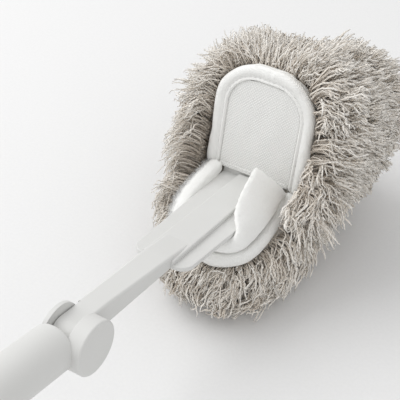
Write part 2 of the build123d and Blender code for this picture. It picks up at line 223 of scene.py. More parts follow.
def woven(name, level, turn, period, hole, sheen, depth):
    """White cloth woven or knitted in two crossing sets of yarns."""
    material, tree, shader, place = new_material(name)
    turned = shader_node(
        tree, "ShaderNodeMapping", {"Vector": place, "Rotation": turn}
    ).outputs["Vector"]
    warp = waves(tree, turned, "X", period, 0.6)
    weft = waves(tree, turned, "Z", period, 0.6)
    weave = combine(tree, "MULTIPLY", warp, weft)
    fibres = noise(tree, place, 2600.0, 4.0, 0.65)
    height = combine(tree, "ADD", weave, combine(tree, "MULTIPLY", fibres, 0.35))
    patches = noise(tree, place, 35.0, 3.0)
    worn = combine(tree, "ADD", combine(tree, "MULTIPLY", patches, 0.3), height)
    stops = ((0.25, grey(level * hole, 0.006)), (0.8, grey(level, 0.003)))
    tree.links.new(ramp(tree, worn, stops), shader.inputs["Base Color"])
    shader.inputs["Roughness"].default_value = 0.85
    shader.inputs["Sheen Weight"].default_value = sheen
    shader.inputs["Sheen Roughness"].default_value = 0.5
    bump(tree, shader, height, 0.7, depth)
    return material


def fleece(name, level, warm):
    """Brushed, slightly pilled fleece."""
    material, tree, shader, place = new_material(name)
    nap = noise(tree, place, 900.0, 6.0, 0.7)
    pills = noise(tree, place, 260.0, 3.0, 0.6)
    patches = noise(tree, place, 40.0, 3.0)
    height = combine(tree, "ADD", nap, combine(tree, "MULTIPLY", pills, 0.8))
    tone = combine(tree, "ADD", combine(tree, "MULTIPLY", patches, 0.5), height)
    stops = ((0.35, grey(level * 0.92, warm)), (0.95, grey(level, warm * 0.5)))
    tree.links.new(
        ramp(tree, combine(tree, "MULTIPLY", tone, 0.6), stops), shader.inputs["Base Color"]
    )
    shader.inputs["Roughness"].default_value = 0.95
    shader.inputs["Sheen Weight"].default_value = 0.3
    shader.inputs["Sheen Roughness"].default_value = 0.6
    bump(tree, shader, height, 0.75, 0.0006)
    return material


def yarn(name, root, middle, tip):
    """Twisted yarn, darker at its root as painted shade down among the other yarns: tone, along and
    round are stored on its points.
    """
    material, tree, shader, _ = new_material(name)
    along = shader_node(tree, "ShaderNodeAttribute", attribute_name="along").outputs["Fac"]
    tone = shader_node(tree, "ShaderNodeAttribute", attribute_name="tone").outputs["Fac"]
    turn = shader_node(tree, "ShaderNodeAttribute", attribute_name="twist").outputs["Fac"]
    ply = combine(tree, "SINE", turn, 0.0)
    light = combine(tree, "ADD", along, combine(tree, "MULTIPLY", tone, 0.5))
    light = combine(tree, "ADD", light, combine(tree, "MULTIPLY", ply, 0.06))
    light = combine(tree, "MULTIPLY", light, 0.8)
    # root to tip: the dark root is painted shade in the crevices of the pile, not the yarn's own colour
    stops = ((0.1, root), (0.55, middle), (1.0, tip))
    tree.links.new(ramp(tree, light, stops), shader.inputs["Base Color"])
    shader.inputs["Roughness"].default_value = 0.9
    shader.inputs["Sheen Weight"].default_value = 0.25
    shader.inputs["Sheen Roughness"].default_value = 0.5
    bump(tree, shader, ply, 0.6, 0.0002)
    return material


WEAVE_TURN = (-LEAN, np.radians(42.0), 0.0)
white_plastic = plastic("white_plastic", 0.69, 0.52)
bearing_plastic = plastic("bearing_plastic", 0.62, 0.36)
steel_finish = steel()
pocket_mesh = woven("pocket_mesh", 0.885, WEAVE_TURN, 1.3 * MM, 0.82, 0.2, 0.0003)
binding_knit = woven("pocket_binding", 0.95, (-LEAN, 0.0, 0.0), 0.75 * MM, 0.91, 0.3, 0.0003)
padded_fleece = fleece("padded_fleece", 0.94, 0.004)
# dark core colour: the foam core is real, but its darkness is painted shade deep inside the pile
core_wadding = fleece("core_wadding", 0.5, 0.1)
thread = yarn("sewing_thread", (0.72, 0.72, 0.71), (0.84, 0.84, 0.83), (0.92, 0.92, 0.91))
fleece_fibre = yarn("fleece_fibre", (0.93, 0.93, 0.92), (0.95, 0.95, 0.94), (0.98, 0.98, 0.97))
# the pile yarns' dark root colour is painted shade deep between the tufts
pile_yarn = yarn("microfibre_pile", (0.42, 0.345, 0.27), (0.91, 0.84, 0.75), (0.985, 0.945, 0.885))

# ---- CAD nodes that keep their shape -----------------------------------------------------
FINISHES = {
    "grip_tube": white_plastic,
    "grip_end_cap": white_plastic,
    "hinge_fork": white_plastic,
    "hinge_cap": white_plastic,
    "arm_shank": white_plastic,
    "arm_blade": white_plastic,
    "pivot_bush": bearing_plastic,
    "friction_washer_right": bearing_plastic,
    "friction_washer_left": bearing_plastic,
    "pivot_bolt": steel_finish,
    "pivot_nut": steel_finish,
    "blade_screw_1": steel_finish,
    "blade_screw_2": steel_finish,
}
for node_name, finish in FINISHES.items():
    part_mesh = nodes[node_name].data
    part_mesh.materials.clear()
    part_mesh.materials.append(finish)


# ---- meshes ----------------------------------------------------------------------------------
def unit(vectors):
    """Vectors of length 1."""
    return vectors / (np.linalg.norm(vectors, axis=-1, keepdims=True) + 1e-12)


def new_piece(name, mesh, material, body="head"):
    """A shown piece that rides on a body."""
    piece = bpy.data.objects.new(name, mesh)
    scene.collection.objects.link(piece)
    mesh.materials.clear()
    mesh.materials.append(material)
    mesh.polygons.foreach_set("use_smooth", np.ones(len(mesh.polygons), bool))
    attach(piece, body)
    return piece


def mesh_from(name, points, faces):
    """A mesh from an array of points and lists of corners."""
    mesh = bpy.data.meshes.new(name)
    mesh.from_pydata(np.asarray(points).tolist(), [], faces)
    mesh.update()
    return mesh


def ring_faces(stations, ring, flipped=False):
    """Faces of a tube of that many rings, closed at both ends; flipped turns them round."""
    corners = ((0, 0), (1, 0), (1, 1), (0, 1)) if flipped else ((0, 0), (0, 1), (1, 1), (1, 0))
    faces = [
        tuple((i + row) * ring + (j + step) % ring for row, step in corners)
        for i in range(stations - 1)
        for j in range(ring)
    ]
    first = tuple(range(ring))
    last = tuple(range((stations - 1) * ring, stations * ring))
    return faces + ([first, last[::-1]] if flipped else [first[::-1], last])


def coordinates(mesh):
    """A mesh's points as an array."""
    flat = np.zeros(len(mesh.vertices) * 3)
    mesh.vertices.foreach_get("co", flat)
    return flat.reshape(-1, 3)


def set_coordinates(mesh, points):
    """The reverse."""
    mesh.vertices.foreach_set("co", np.asarray(points).ravel())
    mesh.update()


def subdivide(piece, levels):
    """Smooth subdivision."""
    smooth = piece.modifiers.new("subdivision", "SUBSURF")
    smooth.levels = levels
    smooth.render_levels = levels


def tubes(name, lines, radii, sides, tone):
    """One mesh of many thin tapered tubes along lines (count, steps, 3)."""
    count, steps, _ = lines.shape
    heading = np.gradient(lines, axis=1)
    heading /= np.linalg.norm(heading, axis=2, keepdims=True) + 1e-12
    spare = dice.normal(size=(count, 1, 3))
    across = np.cross(heading, spare)
    across /= np.linalg.norm(across, axis=2, keepdims=True) + 1e-12
    other = np.cross(heading, across)
    angles = 2.0 * np.pi * np.arange(sides) / sides
    ring = (
        across[:, :, None] * np.cos(angles)[None, None, :, None]
        + other[:, :, None] * np.sin(angles)[None, None, :, None]
    )
    points = lines[:, :, None] + ring * radii[:, :, None, None]

    first = np.arange(count)[:, None, None] * steps * sides
    row = np.arange(steps - 1)[None, :, None] * sides
    here = np.arange(sides)[None, None, :]
    after = (here + 1) % sides
    low, low_next = first + row + here, first + row + after
    quads = np.stack((low, low_next, low_next + sides, low + sides), axis=-1).reshape(-1)
    start = np.arange(count)[:, None] * steps * sides
    root_caps = (start + np.arange(sides)[::-1][None]).reshape(-1)
    tip_caps = (start + (steps - 1) * sides + np.arange(sides)[None]).reshape(-1)

    corners = np.concatenate((quads, root_caps, tip_caps)).astype(np.int32)
    quad_count = count * (steps - 1) * sides
    starts = np.concatenate(
        (np.arange(quad_count) * 4, quad_count * 4 + np.arange(2 * count) * sides)
    ).astype(np.int32)
    mesh = bpy.data.meshes.new(name)
    mesh.vertices.add(count * steps * sides)
    mesh.vertices.foreach_set("co", points.reshape(-1).astype(np.float32))
    mesh.loops.add(len(corners))
    mesh.loops.foreach_set("vertex_index", corners)
    mesh.polygons.add(len(starts))
    mesh.polygons.foreach_set("loop_start", starts)
    mesh.update(calc_edges=True)
    mesh.validate()

    distance = np.cumsum(np.linalg.norm(np.diff(lines, axis=1, prepend=lines[:, :1]), axis=2), axis=1)
    along = distance / (distance[:, -1:] + 1e-12)
    shape = (count, steps, sides)
    values = {
        "along": np.broadcast_to(along[:, :, None], shape),
        "tone": np.broadcast_to(tone[:, None, None], shape),
        "twist": distance[:, :, None] * 2.0 * np.pi / (2.2 * MM) + angles[None, None] * 2.0,
    }
    for key, value in values.items():
        stored = mesh.attributes.new(key, "FLOAT", "POINT")
        stored.data.foreach_set("value", value.reshape(-1).astype(np.float32))
    return mesh


# ---- padded pieces by cloth simulation ----------------------------------------------------------
SIM_FRAMES = 20


def swell(mesh, pressure, cap, stiffness):
    """Inflates a closed mesh a little, as stuffing does, and caps how far a point may move."""
    rest = coordinates(mesh)
    cloth_object = bpy.data.objects.new("cloth", mesh)
    scene.collection.objects.link(cloth_object)
    cloth = cloth_object.modifiers.new("cloth", "CLOTH")
    cloth.settings.use_pressure = True
    cloth.settings.uniform_pressure_force = pressure
    cloth.settings.tension_stiffness = stiffness
    cloth.settings.compression_stiffness = stiffness
    cloth.settings.mass = 0.15
    cloth.settings.effector_weights.gravity = 0.0
    cloth.point_cache.frame_start = 1
    cloth.point_cache.frame_end = SIM_FRAMES
    for step in range(1, SIM_FRAMES + 1):
        scene.frame_set(step)
    depsgraph = bpy.context.evaluated_depsgraph_get()
    evaluated = cloth_object.evaluated_get(depsgraph)
    swollen = coordinates(evaluated.data)
    scene.frame_set(1)
    move = swollen - rest
    length = np.linalg.norm(move, axis=1, keepdims=True)
    move *= np.minimum(1.0, cap / (length + 1e-12))
    bpy.data.objects.remove(cloth_object)
    set_coordinates(mesh, rest + move)


def relax(points, mesh, rounds, weight=0.5):
    """Smooths points over the mesh's edges."""
    edges = np.zeros(len(mesh.edges) * 2, int)
    mesh.edges.foreach_get("vertices", edges)
    a, b = edges.reshape(-1, 2).T
    count = np.zeros(len(points))
    np.add.at(count, a, 1)
    np.add.at(count, b, 1)
    for _ in range(rounds):
        total = np.zeros_like(points)
        np.add.at(total, a, points[b])
        np.add.at(total, b, points[a])
        points = points * (1 - weight) + total / count[:, None] * weight
    return points


def voxel_copy(source_mesh, voxel, inset, smoothing):
    """A closed, evenly meshed copy of a mesh, a little smaller."""
    holder = bpy.data.objects.new("holder", source_mesh)
    scene.collection.objects.link(holder)
    remesh = holder.modifiers.new("remesh", "REMESH")
    remesh.mode = "VOXEL"
    remesh.voxel_size = voxel
    depsgraph = bpy.context.evaluated_depsgraph_get()
    mesh = bpy.data.meshes.new_from_object(holder.evaluated_get(depsgraph))
    bpy.data.objects.remove(holder)
    points = relax(coordinates(mesh), mesh, smoothing)
    set_coordinates(mesh, points)
    normals = np.zeros(len(mesh.vertices) * 3)
    mesh.vertex_normals.foreach_get("vector", normals)
    set_coordinates(mesh, points - normals.reshape(-1, 3) * inset)
    return mesh


def padded_piece(
    name, source, material, voxel, inset, cap, pressure=4.0, smoothing=2, shape=None
):
    """A stuffed piece that stands for a CAD node, from the node's own shape or a given one."""
    start = shape or nodes[source].data.copy()
    mesh = voxel_copy(start, voxel, inset, smoothing)
    swell(mesh, pressure, cap, 12.0)
    piece = new_piece(name, mesh, material)
    subdivide(piece, 1)
    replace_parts(piece, source)
    return piece


toe = padded_piece(
    "toe_cushion", "toe_pad", padded_fleece, 1.7 * MM, 0.5 * MM, 0.7 * MM
)
heel = padded_piece(
    "heel_cushion", "heel_pad", padded_fleece, 1.8 * MM, 0.8 * MM, 1.2 * MM
)


def through(points, count):
    """That many places on a smooth curve through the points (Catmull-Rom)."""
    points = np.asarray(points, float)
    padded_points = np.vstack((2 * points[0] - points[1], points, 2 * points[-1] - points[-2]))
    at = np.linspace(0, len(points) - 1 - 1e-9, count)
    k = at.astype(int)
    t = (at - k)[:, None]
    a, b, c, d = (padded_points[k + step] for step in range(4))
    return 0.5 * (
        2 * b + (c - a) * t + (2 * a - 5 * b + 4 * c - d) * t**2 + (3 * b - a - 3 * c + d) * t**3
    )


def leaf(name, ridge, seam, lift, thickness, stations=36):
    """A stuffed flap between a seam at the rim and a free ridge, bowed outwards by lift."""
    top, foot = through(ridge, stations) * MM, through(seam, stations) * MM
    bows = np.interp(np.linspace(0, 1, stations), np.linspace(0, 1, len(lift)), lift) * MM
    fats = (
        np.interp(np.linspace(0, 1, stations), np.linspace(0, 1, len(thickness)), thickness) * MM
    )
    along = np.gradient((top + foot) / 2, axis=0)
    climb = top - foot
    outward = unit(np.cross(along, climb))
    outward *= np.sign(np.sum(outward * (foot - (0, foot[0, 1], foot[0, 2])), axis=1))[:, None]
    steps = np.linspace(0, 1, 9)
    outer, inner = [], []
    for t in steps:
        middle = foot + climb * t + outward * (bows * 4 * t * (1 - t))[:, None]
        fat = (fats * (0.35 + 0.65 * np.sin(np.pi * min(0.5, t + 0.12) ** 0.8)) / 2)[:, None]
        fat = fat * (1 - 0.45 * t**3)
        outer.append(middle + outward * fat)
        inner.append(middle - outward * fat)
    ring = np.stack(outer + inner[::-1], axis=1)
    return mesh_from(name, ring.reshape(-1, 3), ring_faces(stations, ring.shape[1]))


# the right wing: its free ridge, its seam, its bow outwards and its thickness, in millimetres
RIGHT_RIDGE = (
    (4.5, 113.5, 77.0),
    (7.0, 101.0, 78.6),
    (10.0, 87.0, 78.2),
    (14.0, 74.0, 75.4),
    (20.4, 65.0, 71.0),
    (17.0, 62.4, 66.0),
    (9.0, 62.6, 64.8),
    (0.0, 62.8, 64.6),
    (-10.0, 63.0, 64.2),
)
RIGHT_SEAM = (
    (25.4, 118.4, 61.0),
    (26.2, 105.0, 59.8),
    (26.6, 92.0, 58.8),
    (26.2, 80.0, 57.8),
    (23.6, 69.0, 56.8),
    (18.4, 61.6, 56.0),
    (11.4, 58.8, 55.4),
    (0.0, 58.2, 55.0),
    (-10.0, 58.8, 55.2),
)
RIGHT_BOW = (0.4, 0.9, 1.4, 1.6, 1.2, 0.6, 0.3)
RIGHT_FAT = (5.0, 6.0, 6.5, 6.5, 6.0, 5.5, 5.0)
wing_r = padded_piece(
    "wing_puff_right",
    "wing_right",
    padded_fleece,
    1.3 * MM,
    0.5 * MM,
    1.8 * MM,
    shape=leaf("wing", RIGHT_RIDGE, RIGHT_SEAM, RIGHT_BOW, RIGHT_FAT),
)
# the left wing's cross-sections: y, then the (x, z) corners, in millimetres
LEFT_SECTIONS = (
    (119.8, ((-30.2, 60.0), (-29.2, 64.6), (-25.0, 66.4), (-20.2, 65.2), (-20.2, 58.4), (-27.6, 57.8))),
    (108.0, ((-31.4, 59.6), (-30.4, 63.8), (-26.0, 67.2), (-20.0, 66.0), (-20.0, 57.6), (-28.0, 57.0))),
    (94.0, ((-31.8, 59.0), (-30.8, 63.2), (-26.0, 67.4), (-19.8, 66.2), (-19.8, 57.2), (-28.2, 56.4))),
    (80.0, ((-30.4, 58.2), (-29.4, 62.6), (-25.4, 66.6), (-19.4, 66.2), (-19.4, 56.8), (-27.4, 55.8))),
    (68.0, ((-27.0, 57.6), (-26.0, 61.4), (-22.6, 64.6), (-17.0, 64.4), (-16.0, 56.4), (-24.4, 55.4))),
    (61.0, ((-20.0, 57.2), (-19.0, 60.0), (-16.6, 61.8), (-12.0, 61.6), (-11.0, 56.0), (-18.0, 55.2))),
)


def bolster(name, sections):
    """A stuffed roll between cross-sections (y, then its (x, z) corners)."""
    points = [(x, y, z) for y, corners in sections for x, z in corners]
    faces = ring_faces(len(sections), len(sections[0][1]))
    return mesh_from(name, np.array(points) * MM, faces)


wing_l = padded_piece(
    "wing_puff_left",
    "wing_left",
    padded_fleece,
    1.3 * MM,
    -0.1 * MM,
    1.0 * MM,
    smoothing=4,
    shape=bolster("wing", LEFT_SECTIONS),
)


# ---- pocket: border, panel, hem and stitches --------------------------------------------------------
INNER_HALF, INNER_LENGTH = POCKET_HALF - BORDER, POCKET_LENGTH - BORDER
INNER_ROUND = POCKET_ROUND - BORDER


def outline_path(steps_straight=34, steps_arc=26, steps_top=8):
    """Inner edge of the border, from the mouth's left end round to its right end, and the
    outward normals."""
    half, length, corner = INNER_HALF, INNER_LENGTH, INNER_ROUND
    side = np.linspace(0.0, length - corner, steps_straight, endpoint=False)
    left = [((-half, v), (-1.0, 0.0)) for v in side]
    arc = np.linspace(np.pi, np.pi / 2, steps_arc, endpoint=False)
    middle = half - corner
    turn = [
        (
            (-middle + corner * np.cos(a), length - corner + corner * np.sin(a)),
            (np.cos(a), np.sin(a)),
        )
        for a in arc
    ]
    top = [((u, length), (0.0, 1.0)) for u in np.linspace(-middle, 0.0, steps_top)]
    first_half = left + turn + top
    mirrored = [((-p[0], p[1]), (-n[0], n[1])) for p, n in first_half[-2::-1]]
    whole = first_half + mirrored
    return np.array([p for p, n in whole]), np.array([n for p, n in whole])


# the border's section as (away from its inner edge, out of the face), in millimetres
BORDER_SECTION = (
    (0.4, -4.5),
    (0.0, -3.6),
    (-0.1, -2.4),
    (0.0, -1.4),
    (0.2, -0.4),
    (0.6, 0.25),
    (1.2, 0.45),
    (1.75, 0.2),
    (2.2, -0.5),
    (2.6, -0.35),
    (3.1, 0.05),
    (3.9, 0.6),
    (5.0, 0.95),
    (6.2, 1.0),
    (7.3, 0.7),
    (8.2, 0.05),
    (8.9, -0.9),
    (9.25, -2.1),
    (9.1, -3.3),
    (8.5, -4.3),
    (7.2, -4.6),
    (5.2, -4.6),
    (3.0, -4.6),
    (1.4, -4.6),
)
STITCH = 3.1 * MM  # from one stitch to the next
SEAM_AT = 2.2 * MM  # sewn groove, from the border's inner edge
SLIT = 1.2 * MM  # open between the hem and the blade
HEM_HALF = 23.6 * MM
RIM_WIDTH = 3.2 * MM
RIM_START = -0.8 * MM
RIM_FLARE, RIM_FLARE_END = 28 * MM, 34 * MM  # where the rim widens towards the pocket
FLARE_RISE, FLARE_WIDEN = 3.6 * MM, 0.25


def smooth_random(count, knots, size):
    """A smooth random run of that many values."""
    raw = dice.normal(size=knots) * size
    return np.interp(np.linspace(0, knots - 1, count), np.arange(knots), raw)


def swept(name, base, normal, section, to_world, crown_from, seam_at, rise=0.0, widen=0.0):
    """A closed strip along a path, its section given as (away, out), uneven as sewn cloth is.
    rise and widen, one value for each station, lift its face and broaden it."""
    rise = np.broadcast_to(rise, len(base))
    widen = np.broadcast_to(widen, len(base))
    section = np.array(section) * MM
    stations = len(base)
    run = np.concatenate(((0,), np.cumsum(np.linalg.norm(np.diff(base, axis=0), axis=1))))
    wave = smooth_random(stations, 40, 0.2 * MM)
    sway = smooth_random(stations, 24, 0.22 * MM)
    rows = []
    for i in range(stations):
        away, out = section.T.copy()
        face = out > section[:, 1].max() - 2.6 * MM
        pucker = 0.16 * MM * np.sin(2 * np.pi * run[i] / STITCH)
        near_seam = np.exp(-(((away - seam_at) / (1.6 * MM)) ** 2))
        crown = np.clip((away - crown_from) / (3.0 * MM), 0, 1)
        out = out + face * (pucker * near_seam + wave[i] * crown)
        away = away + (away > crown_from) * sway[i]
        out = out + rise[i] * np.clip((out + 3.0 * MM) / (3.0 * MM), 0, 1)
        away = away * (1.0 + widen[i] * (out > -1.0 * MM))
        end = min(i, stations - 1 - i)
        squeeze = (0.6, 0.88, 0.98)[end] if end < 3 else 1.0
        centre = np.array((away.mean(), out.mean()))
        away = centre[0] + (away - centre[0]) * squeeze
        out = centre[1] + (out - centre[1]) * squeeze
        place = base[i][None] + normal[i][None] * away[:, None]
        rows.append(np.column_stack((place, out)))
    points = to_world(np.concatenate(rows))
    faces = ring_faces(stations, len(section))
    piece = new_piece(name, mesh_from(name, points, faces), binding_knit)
    subdivide(piece, 1)
    return piece


def border_piece():
    """Padded border round the pocket, with its welt and sewn groove."""
    base, normal = outline_path()
    piece = swept(
        "pocket_rim", base, normal, BORDER_SECTION, pocket_to_world, 4.0 * MM, SEAM_AT
    )
    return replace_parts(piece, "pocket_border")


# the heel rim's section as (away from the pad's edge, up), in millimetres
RIM_SECTION = (
    (0.2, -6.8),
    (0.1, -3.2),
    (-0.2, 0.3),
    (-1.9, 0.6),
    (-2.4, 1.6),
    (-1.4, 2.5),
    (0.2, 2.9),
    (1.8, 2.7),
    (3.1, 1.8),
    (3.9, 0.2),
    (4.1, -2.0),
    (3.8, -4.6),
    (2.9, -6.6),
    (1.5, -7.3),
)


def rim_piece():
    """Bound rim round the heel pad, from the pocket's one side to the other."""
    half, back = HEEL_HALF - RIM_WIDTH, HEEL_BACK - RIM_WIDTH
    corner = half * 0.8
    side = [
        ((half, y), (1.0, 0.0))
        for y in np.linspace(RIM_START, corner - back, 24, endpoint=False)
    ]
    turn = [
        (
            (half - corner + corner * np.cos(a), corner - back + corner * np.sin(a)),
            (np.cos(a), np.sin(a)),
        )
        for a in np.linspace(0.0, -np.pi / 2, 26, endpoint=False)
    ]
    end = [((x, -back), (0.0, -1.0)) for x in np.linspace(half - corner, 0.0, 5)]
    first_half = side + turn + end
    mirrored = [((-p[0], p[1]), (-n[0], n[1])) for p, n in first_half[-2::-1]]
    whole = (first_half + mirrored)[::-1]
    base, normal = np.array([p for p, n in whole]), np.array([n for p, n in whole])
    near_pocket = np.clip((base[:, 1] + RIM_FLARE_END) / RIM_FLARE, 0, 1) ** 1.5
    piece = swept(
        "heel_rim",
        base,
        normal,
        RIM_SECTION[::-1],
        heel_to_world,
        0.5 * MM,
        -1.6 * MM,
        rise=near_pocket * FLARE_RISE,
        widen=near_pocket * FLARE_WIDEN,
    )
    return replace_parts(piece, "heel_binding")


def panel_piece():
    """Mesh panel stretched inside the border."""
    half, length, corner = INNER_HALF, INNER_LENGTH, INNER_ROUND
    rows, columns = 44, 37
    up = np.linspace(SLIT, length, rows)
    over = np.clip(up - (length - corner), 0, corner)
    width = half - corner + np.sqrt(np.maximum(corner**2 - over**2, 0))
    across = np.linspace(-1, 1, columns)
    u = width[:, None] * across[None]
    v = np.broadcast_to(up[:, None], u.shape)
    edge = np.maximum(np.abs(across)[None] ** 4, (up[:, None] / length) ** 8)
    toe_bulge = np.exp(-((u / (19 * MM)) ** 4)) * np.exp(-((v / (50 * MM)) ** 4))
    ripple = 0.12 * MM * np.sin(u / (3.3 * MM) + 1.7 * np.sin(v / (9 * MM)))
    out = -0.95 * MM - 0.35 * MM * edge + 0.55 * MM * toe_bulge + ripple * (1 - edge)
    points = pocket_to_world(np.stack((u, v, out), axis=-1).reshape(-1, 3))
    faces = [
        (i * columns + j, i * columns + j + 1, (i + 1) * columns + j + 1, (i + 1) * columns + j)
        for i in range(rows - 1)
        for j in range(columns - 1)
    ]
    piece = new_piece("pocket_sheet", mesh_from("pocket_sheet", points, faces), pocket_mesh)
    thick = piece.modifiers.new("thickness", "SOLIDIFY")
    thick.thickness = 0.5 * MM
    thick.offset = 0.0
    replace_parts(piece, "pocket_panel")
    return piece


def hem_piece():
    """Turned hem across the mouth, a flat roll of cloth."""
    stations, ring = 60, 12
    across = np.linspace(-HEM_HALF, HEM_HALF, stations)
    angle = 2 * np.pi * np.arange(ring) / ring
    sway = smooth_random(stations, 16, 0.12 * MM)
    rows = []
    for i, x in enumerate(across):
        end = min(i, stations - 1 - i)
        size = (0.35, 0.75, 0.95)[end] if end < 3 else 1.0
        v = SLIT + 1.75 * MM + 1.6 * MM * size * np.sign(np.cos(angle)) * np.abs(np.cos(angle)) ** 0.7
        w = 0.1 * MM + 0.4 * MM * size * np.sign(np.sin(angle)) * np.abs(np.sin(angle)) ** 0.8
        rows.append(np.column_stack((np.full(ring, x), v + sway[i], w)))
    points = pocket_to_world(np.concatenate(rows))
    hem_mesh = mesh_from("mouth_hem", points, ring_faces(stations, ring, flipped=True))
    piece = new_piece("mouth_hem", hem_mesh, pocket_mesh)
    subdivide(piece, 1)
    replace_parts(piece, "pocket_hem")
    return piece


def stitches(name, path, lift, length, gap, radius=0.24 * MM):
    """A row of thread stitches lying along a path, each a low arch."""
    path = np.asarray(path)
    run = np.concatenate(((0,), np.cumsum(np.linalg.norm(np.diff(path, axis=0), axis=1))))
    starts = np.arange(0.5 * gap, run[-1] - length, length + gap)
    steps = 6
    t = np.linspace(0, 1, steps)
    places = starts[:, None] + t[None] * length
    lines = np.stack([np.interp(places, run, path[:, k]) for k in range(3)], axis=-1)
    lines = lines + (np.sin(np.pi * t) * 0.18 * MM)[None, :, None] * lift
    lines[:, (0, -1)] -= 0.35 * MM * lift
    radii = np.broadcast_to(radius * (0.75 + 0.25 * np.sin(np.pi * t)), lines.shape[:2])
    mesh = tubes(name, lines, radii, 6, dice.uniform(0.4, 1.0, len(lines)))
    return new_piece(name, mesh, thread)


def fuzz(name, spots, ways, length, spread):
    """Short loose fibres standing on a brushed edge."""
    count = len(spots)
    t = np.linspace(0, 1, 5)[None, :, None]
    heading = unit(ways + spread * dice.normal(size=(count, 3)))
    bend = dice.normal(size=(count, 1, 3)) * 0.35
    reach = length * dice.uniform(0.4, 1.0, (count, 1, 1))
    lines = spots[:, None] + reach * (heading[:, None] * t + bend * t**2)
    radii = 0.075 * MM * (1 - 0.7 * t[..., 0]) * np.ones((count, 1))
    return new_piece(name, tubes(name, lines, radii, 3, dice.uniform(0, 1, count)), fleece_fibre)


border_piece()
rim_piece()
panel = panel_piece()
hem = hem_piece()
seam_base, seam_normal = outline_path()
seam_line = seam_base + seam_normal * SEAM_AT
seam_depth = np.full((len(seam_line), 1), -0.5 * MM)
seam_path = pocket_to_world(np.hstack((seam_line, seam_depth)))
stitches("border_stitches", seam_path, POCKET_AXES[2], 2.1 * MM, STITCH - 2.1 * MM)
hem_x = np.linspace(-HEM_HALF + 2 * MM, HEM_HALF - 2 * MM, 50)
hem_rows = np.column_stack((hem_x, np.full(50, SLIT + 2.5 * MM), np.full(50, 0.4 * MM)))
hem_stitches = stitches(
    "hem_stitches", pocket_to_world(hem_rows), POCKET_AXES[2], 2.0 * MM, 1.0 * MM
)
depsgraph = bpy.context.evaluated_depsgraph_get()
FUZZ = 1500  # loose fibres on the left wing's outer edge
skin = wing_l.evaluated_get(depsgraph).data
skin_points = coordinates(skin)
skin_ways = np.zeros(len(skin.vertices) * 3)
skin.vertex_normals.foreach_get("vector", skin_ways)
skin_ways = skin_ways.reshape(-1, 3)
on_edge = np.flatnonzero((skin_ways[:, 0] < -0.55) & (skin_points[:, 2] > 59 * MM))
chosen = dice.choice(on_edge, FUZZ)
fuzz_spots = skin_points[chosen] + dice.normal(size=(FUZZ, 3)) * 0.3 * MM
fleece_edge = fuzz("wing_fuzz_left", fuzz_spots, skin_ways[chosen], 2.2 * MM, 0.5)

# ---- pile: yarns in tufts, over the whole head but its pocket and heel ------------------
PILE_NODES = (
    "pile_front_right",
    "pile_front_left",
    "pile_belly",
    "pile_heel",
    "pile_side_right",
    "pile_side_left",
)
PAD_NODES = ("foam_core", "toe_pad", "heel_pad", "heel_binding", "pocket_border", "pocket_panel")
PILE_GRID, CORE_GRID = (110, 120), (40, 48)  # rays along the spine and round it
CORE_INSET = 19 * MM


def head_tree():
    """Everything sewn as one tree for casting rays, and which faces are pile."""
    points, faces, owner = [], [], []
    for index, name in enumerate(PILE_NODES + PAD_NODES):
        mesh = nodes[name].data
        offset = len(points)
        points += [v.co.copy() for v in mesh.vertices]
        for polygon in mesh.polygons:
            faces.append([offset + k for k in polygon.vertices])
            owner.append(index)
    return BVHTree.FromPolygons(points, faces), np.array(owner)


def spine_rays(rows, columns):
    """Rays' inner ends and directions over a capsule round the head's spine."""
    heel_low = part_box("pile_heel")[0].y
    front_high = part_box("pile_belly")[1].y
    start = np.array((0.0, heel_low + 30 * MM, 27 * MM))
    end = np.array((0.0, front_high - 42 * MM, 50 * MM))
    bend = np.linspace(0, 1, rows)
    around = 2 * np.pi * np.arange(columns) / columns
    ends, headings = [], []
    for s in bend:
        if s < 0.2:
            centre, tilt = start, np.pi / 2 * (s / 0.2)
            level = -np.cos(tilt)
        elif s > 0.8:
            centre, tilt = end, np.pi / 2 * (1 - (s - 0.8) / 0.2)
            level = np.cos(tilt)
        else:
            centre, tilt, level = start + (end - start) * (s - 0.2) / 0.6, np.pi / 2, 0.0
        ends.append(np.broadcast_to(centre, (columns, 3)))
        flat = np.sin(tilt)
        headings.append(
            np.column_stack((flat * np.cos(around), np.full(columns, level), flat * np.sin(around)))
        )
    return np.array(ends), np.array(headings)


def cast_surface(rows, columns):
    """Outer surface of the head as a grid, the spine point of each ray, and where it is pile."""
    tree, owner = head_tree()
    ends, headings = spine_rays(rows, columns)
    surface = np.zeros((rows, columns, 3))
    is_pile = np.zeros((rows, columns), bool)
    for i in range(rows):
        for j in range(columns):
            heading = Vector(headings[i, j])
            spot, _, face, _ = tree.ray_cast(Vector(ends[i, j]) + heading * 0.3, -heading)
            if spot is None:
                surface[i, j] = ends[i, j]
                continue
            surface[i, j] = spot
            is_pile[i, j] = owner[face] < len(PILE_NODES)
    return surface, ends, is_pile


def rounded_distance(u, v, half, length, corner):
    """Distance outside an outline with round corners at its far end, and the way out."""
    qu, qv = np.abs(u) - (half - corner), v - (length - corner)
    pu, pv = np.maximum(qu, 0), np.maximum(qv, 0)
    size = np.hypot(pu, pv)
    distance = size + np.minimum(np.maximum(qu, qv), 0) - corner
    way_u = np.where(size > 0, pu / (size + 1e-9), 1.0) * np.sign(u)
    way_v = np.where(size > 0, pv / (size + 1e-9), 0.0)
    return distance, way_u, way_v


def keep_out(points, to_local, to_world, half, length, corner, forward, floor_level, clear):
    """Pushes points out of the space above an outline; also says how deep each was in."""
    local = to_local(points)
    distance, way_u, way_v = rounded_distance(
        local[..., 0], forward * local[..., 1], half, length, corner
    )
    inside = (local[..., 2] > floor_level) & (distance < clear) & (forward * local[..., 1] > -clear)
    push = np.where(inside, clear - distance, 0.0)
    local[..., 0] += push * way_u
    local[..., 1] += push * way_v * forward
    return to_world(local), push


